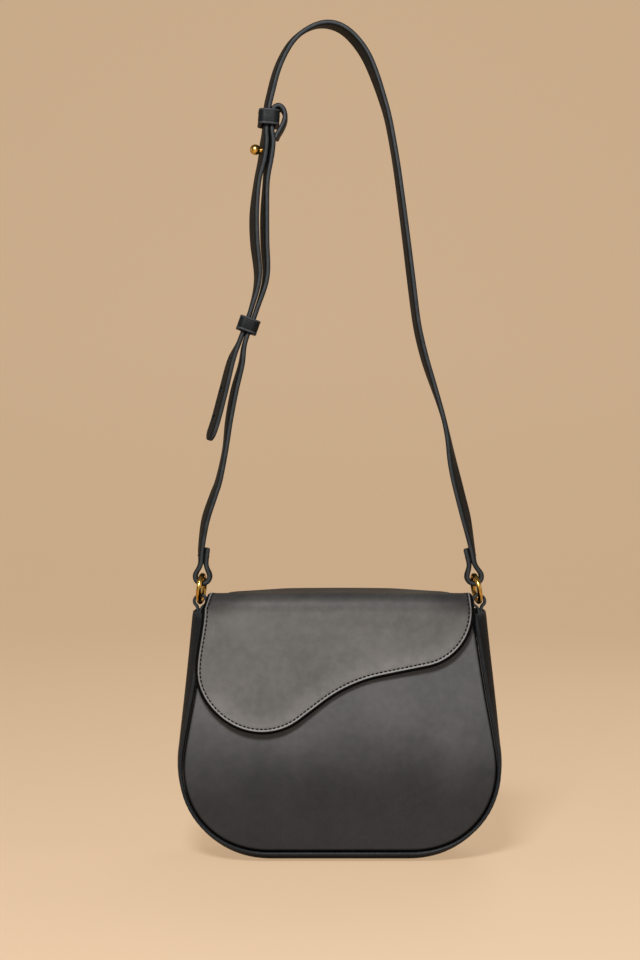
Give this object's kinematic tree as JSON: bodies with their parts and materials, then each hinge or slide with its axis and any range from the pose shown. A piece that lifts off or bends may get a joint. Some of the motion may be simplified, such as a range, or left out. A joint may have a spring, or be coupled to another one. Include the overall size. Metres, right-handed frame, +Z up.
{
  "type": "saddle handbag",
  "caption": "Leather saddle bag with a wavy magnetic front flap, brass rings at its ends and an adjustable carrying strap",
  "frame": {"origin": "middle of the overall box at the height of the surface that the bag stands on", "axes": "+X to the right seen from the front, +Y to the back panel, +Z up to the strap"},
  "size_m": [0.2292, 0.0848, 0.5927],
  "materials": {
    "leather": "fine-grained satin charcoal leather",
    "strap_leather": "smooth satin slate-black leather",
    "lining_cloth": "plain woven cloth",
    "board": "matt stiffening board",
    "brass": "polished",
    "steel": "plain nickel-plated"
  },
  "bodies": {
    "bag": {"front_panel": "leather", "back_panel": "leather", "gusset": "leather", "front_welt": "leather", "back_welt": "leather", "lining_front": "lining_cloth", "lining_back": "lining_cloth", "lining_gusset": "lining_cloth", "facing_front": "leather", "facing_back": "leather", "slip_pocket": "leather", "base_board": "board", "tab_left": "strap_leather", "tab_right": "strap_leather", "flap_back": "leather", "snap_socket": "brass", "snap_magnet": "steel", "snap_socket_washer": "steel"},
    "flap_top": {"flap_top": "leather", "flap_top_lining": "lining_cloth"},
    "flap_front": {"flap_front": "leather", "flap_front_lining": "lining_cloth", "snap_stud": "brass", "snap_stud_washer": "steel"},
    "ring_left": {"ring_left": "brass"},
    "ring_right": {"ring_right": "brass"},
    "strap": {"strap_long": "strap_leather", "strap_short": "strap_leather", "keeper_top": "strap_leather", "ball_stud": "brass", "stud_screw": "brass"},
    "keeper_lower": {"keeper_lower": "strap_leather"}
  },
  "joints": [
    {"name": "flap_open", "type": "hinge", "parent": "bag", "child": "flap_top", "pos_m": [0, 0.04081, 0.177], "axis": [-1, 0, 0], "range_deg": [0, 38]},
    {"name": "flap_fold", "type": "hinge", "parent": "flap_top", "child": "flap_front", "pos_m": [0, -0.03959, 0.177], "axis": [-1, 0, 0], "range_deg": [0, 110]},
    {"name": "ring_left_turn", "type": "hinge", "parent": "bag", "child": "ring_left", "pos_m": [-0.09857, 0.00231, 0.1885], "axis": [0.9865, -0.1386, -0.0872], "continuous": true},
    {"name": "ring_right_turn", "type": "hinge", "parent": "bag", "child": "ring_right", "pos_m": [0.09775, 0.00231, 0.1885], "axis": [0.9752, 0.1371, 0.1736], "continuous": true},
    {"name": "strap_swing", "type": "hinge", "parent": "bag", "child": "strap", "pos_m": [0, 0.00231, 0.1885], "axis": [-1, 0, 0], "range_deg": [0, 70]},
    {"name": "keeper_lower_slide", "type": "slide", "parent": "strap", "child": "keeper_lower", "axis": [0.3371, 0, 0.9415], "range_m": [-0.006, 0.006]}
  ]
}
